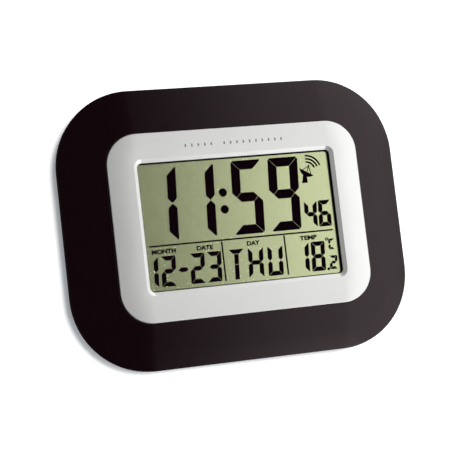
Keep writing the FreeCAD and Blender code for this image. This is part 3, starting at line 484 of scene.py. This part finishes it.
def make_ticks():
    """A row of plain ticks printed on the bezel over the window."""
    low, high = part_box("bezel")
    middle_x = (low[0] + high[0]) / 2
    verts = []
    faces = []
    for index in range(TICK_COUNT):
        if index == TICK_GAP:
            continue
        first = len(verts)
        x = middle_x + (index - (TICK_COUNT - 1) / 2) * TICK_PITCH * MM
        for step in range(TICK_STEPS):
            inset = (TICK_INSET + TICK_HEIGHT * (step / (TICK_STEPS - 1) - 0.5)) * MM
            for side in (-1, 1):
                verts.append((x + side * TICK_WIDTH * MM / 2,
                              bezel_face_y(inset) - PRINT_LIFT, high[2] - inset))
        for corner in range(first, first + 2 * (TICK_STEPS - 1), 2):
            faces.append((corner, corner + 2, corner + 3, corner + 1))
    mesh = bpy.data.meshes.new("bezel_ticks")
    mesh.from_pydata(verts, [], faces)
    ink = shell_material("print_grey", PRINT_GREY, rough=0.6, specular=0.2)
    own_piece("bezel_ticks", mesh, ink)


def make_button_signs():
    """A plain printed sign on each button."""
    ink = shell_material("button_print", PRINT_WHITE, rough=0.6, specular=0.2)
    for index, (corners, turn) in enumerate(BUTTON_SIGNS, 1):
        button = "button_%d" % index
        low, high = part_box(button)
        verts = []
        for step in range(corners):
            angle = math.radians(turn - 360 / corners * step)
            verts.append(((low[0] + high[0]) / 2 - SIGN_RADIUS * MM * math.cos(angle), high[1] + PRINT_LIFT,
                          (low[2] + high[2]) / 2 + SIGN_RADIUS * MM * math.sin(angle)))
        mesh = bpy.data.meshes.new(button + "_sign")
        mesh.from_pydata(verts, [], [tuple(range(corners))])
        own_piece(button + "_sign", mesh, ink, button)


def dress_front():
    skin = shell_material("frame_skin", FRAME_BROWN, rough=0.16, grain=0.02, tint=FRAME_TINT)
    paint(("outer_frame",), skin)
    silver = shell_material("silver_paint", SILVER, rough=0.34, metallic=0.62, grain=0.05, shade=0.012)
    paint(("bezel",), silver)
    green = shell_material("display_green", LCD_GREEN, rough=0.16, metallic=0.8, shade=0.01, rough_spread=0.0)
    paint(("front_polarizer", "lcd_front_glass", "lcd_rear_glass", "lcd_reflector"), green)
    ink = shell_material("display_ink", LCD_INK, rough=0.5, specular=0.0, shade=0.01)
    make_display_marks(ink)
    make_labels(ink)
    paint(("lens",), clear_material("clear_sheet"))
    make_ticks()


def dress_inside():
    foam = shell_material("black_foam", srgb(14, 12, 14), rough=0.8, specular=0.2, grain=0.4)
    paint(("lcd_gasket",), foam)
    paint(("lcd_holder",), shell_material("holder_black", srgb(24, 23, 25), rough=0.5, grain=0.15))
    paint(("lcd_edge_seal",), shell_material("seal_resin", srgb(150, 152, 146), rough=0.4))
    strip = striped_material("contact_strip", STRIP_PITCH, srgb(196, 170, 168), srgb(30, 28, 30), 0.6)
    paint(("zebra_strip",), strip)
    paint(("main_board", "receiver_board"), board_material("board_green"))
    resin = shell_material("black_resin", srgb(16, 16, 17), rough=0.25, grain=0.1)
    paint(("controller_chip", "receiver_chip"), resin)
    paint(("quartz_crystal",), shell_material("can_metal", srgb(196, 196, 194), rough=0.22, metallic=1.0))
    paint(("electrolytic_capacitor",), shell_material("capacitor_sleeve", srgb(28, 34, 62), rough=0.3))
    paint(("thermistor",), shell_material("bead_glass", srgb(120, 62, 34), rough=0.2))
    ferrite = shell_material("ferrite_grey", srgb(62, 60, 60), rough=0.55, metallic=0.3, grain=0.4)
    paint(("ferrite_rod",), ferrite)
    # The coil's dark stripes are painted shade between the wires, not a colour of the copper.
    copper = striped_material("coil_copper", WINDING_PITCH, srgb(190, 104, 58), srgb(90, 40, 22), 0.3, 1.0)
    paint(("aerial_coil",), copper)
    paint(("button_switches",), shell_material("switch_black", srgb(20, 20, 22), rough=0.4))


def dress_back():
    skin = shell_material("cover_plastic", srgb(34, 30, 32), rough=0.5, grain=0.5, grain_scale=1800.0)
    paint(("rear_cover", "battery_door", "table_stand"), skin)
    rubber = shell_material("button_grey", srgb(74, 74, 78), rough=0.55, grain=0.3)
    paint(["button_%d" % index for index in range(1, 6)], rubber)
    make_button_signs()
    steel = shell_material("screw_steel", srgb(176, 176, 174), rough=0.28, metallic=1.0)
    paint(("cover_screws", "board_screws", "holder_screws"), steel)
    nickel = shell_material("contact_nickel", srgb(206, 204, 196), rough=0.2, metallic=1.0)
    paint(("battery_plates", "battery_springs"), nickel)
    for name, way in (("battery_1", 1), ("battery_2", -1)):
        paint((name,), cell_material(name, way))


make_camera()
make_world()
make_stage()
make_suns()
dress_front()
dress_inside()
dress_back()
bpy.context.scene.view_settings.view_transform = "Standard"
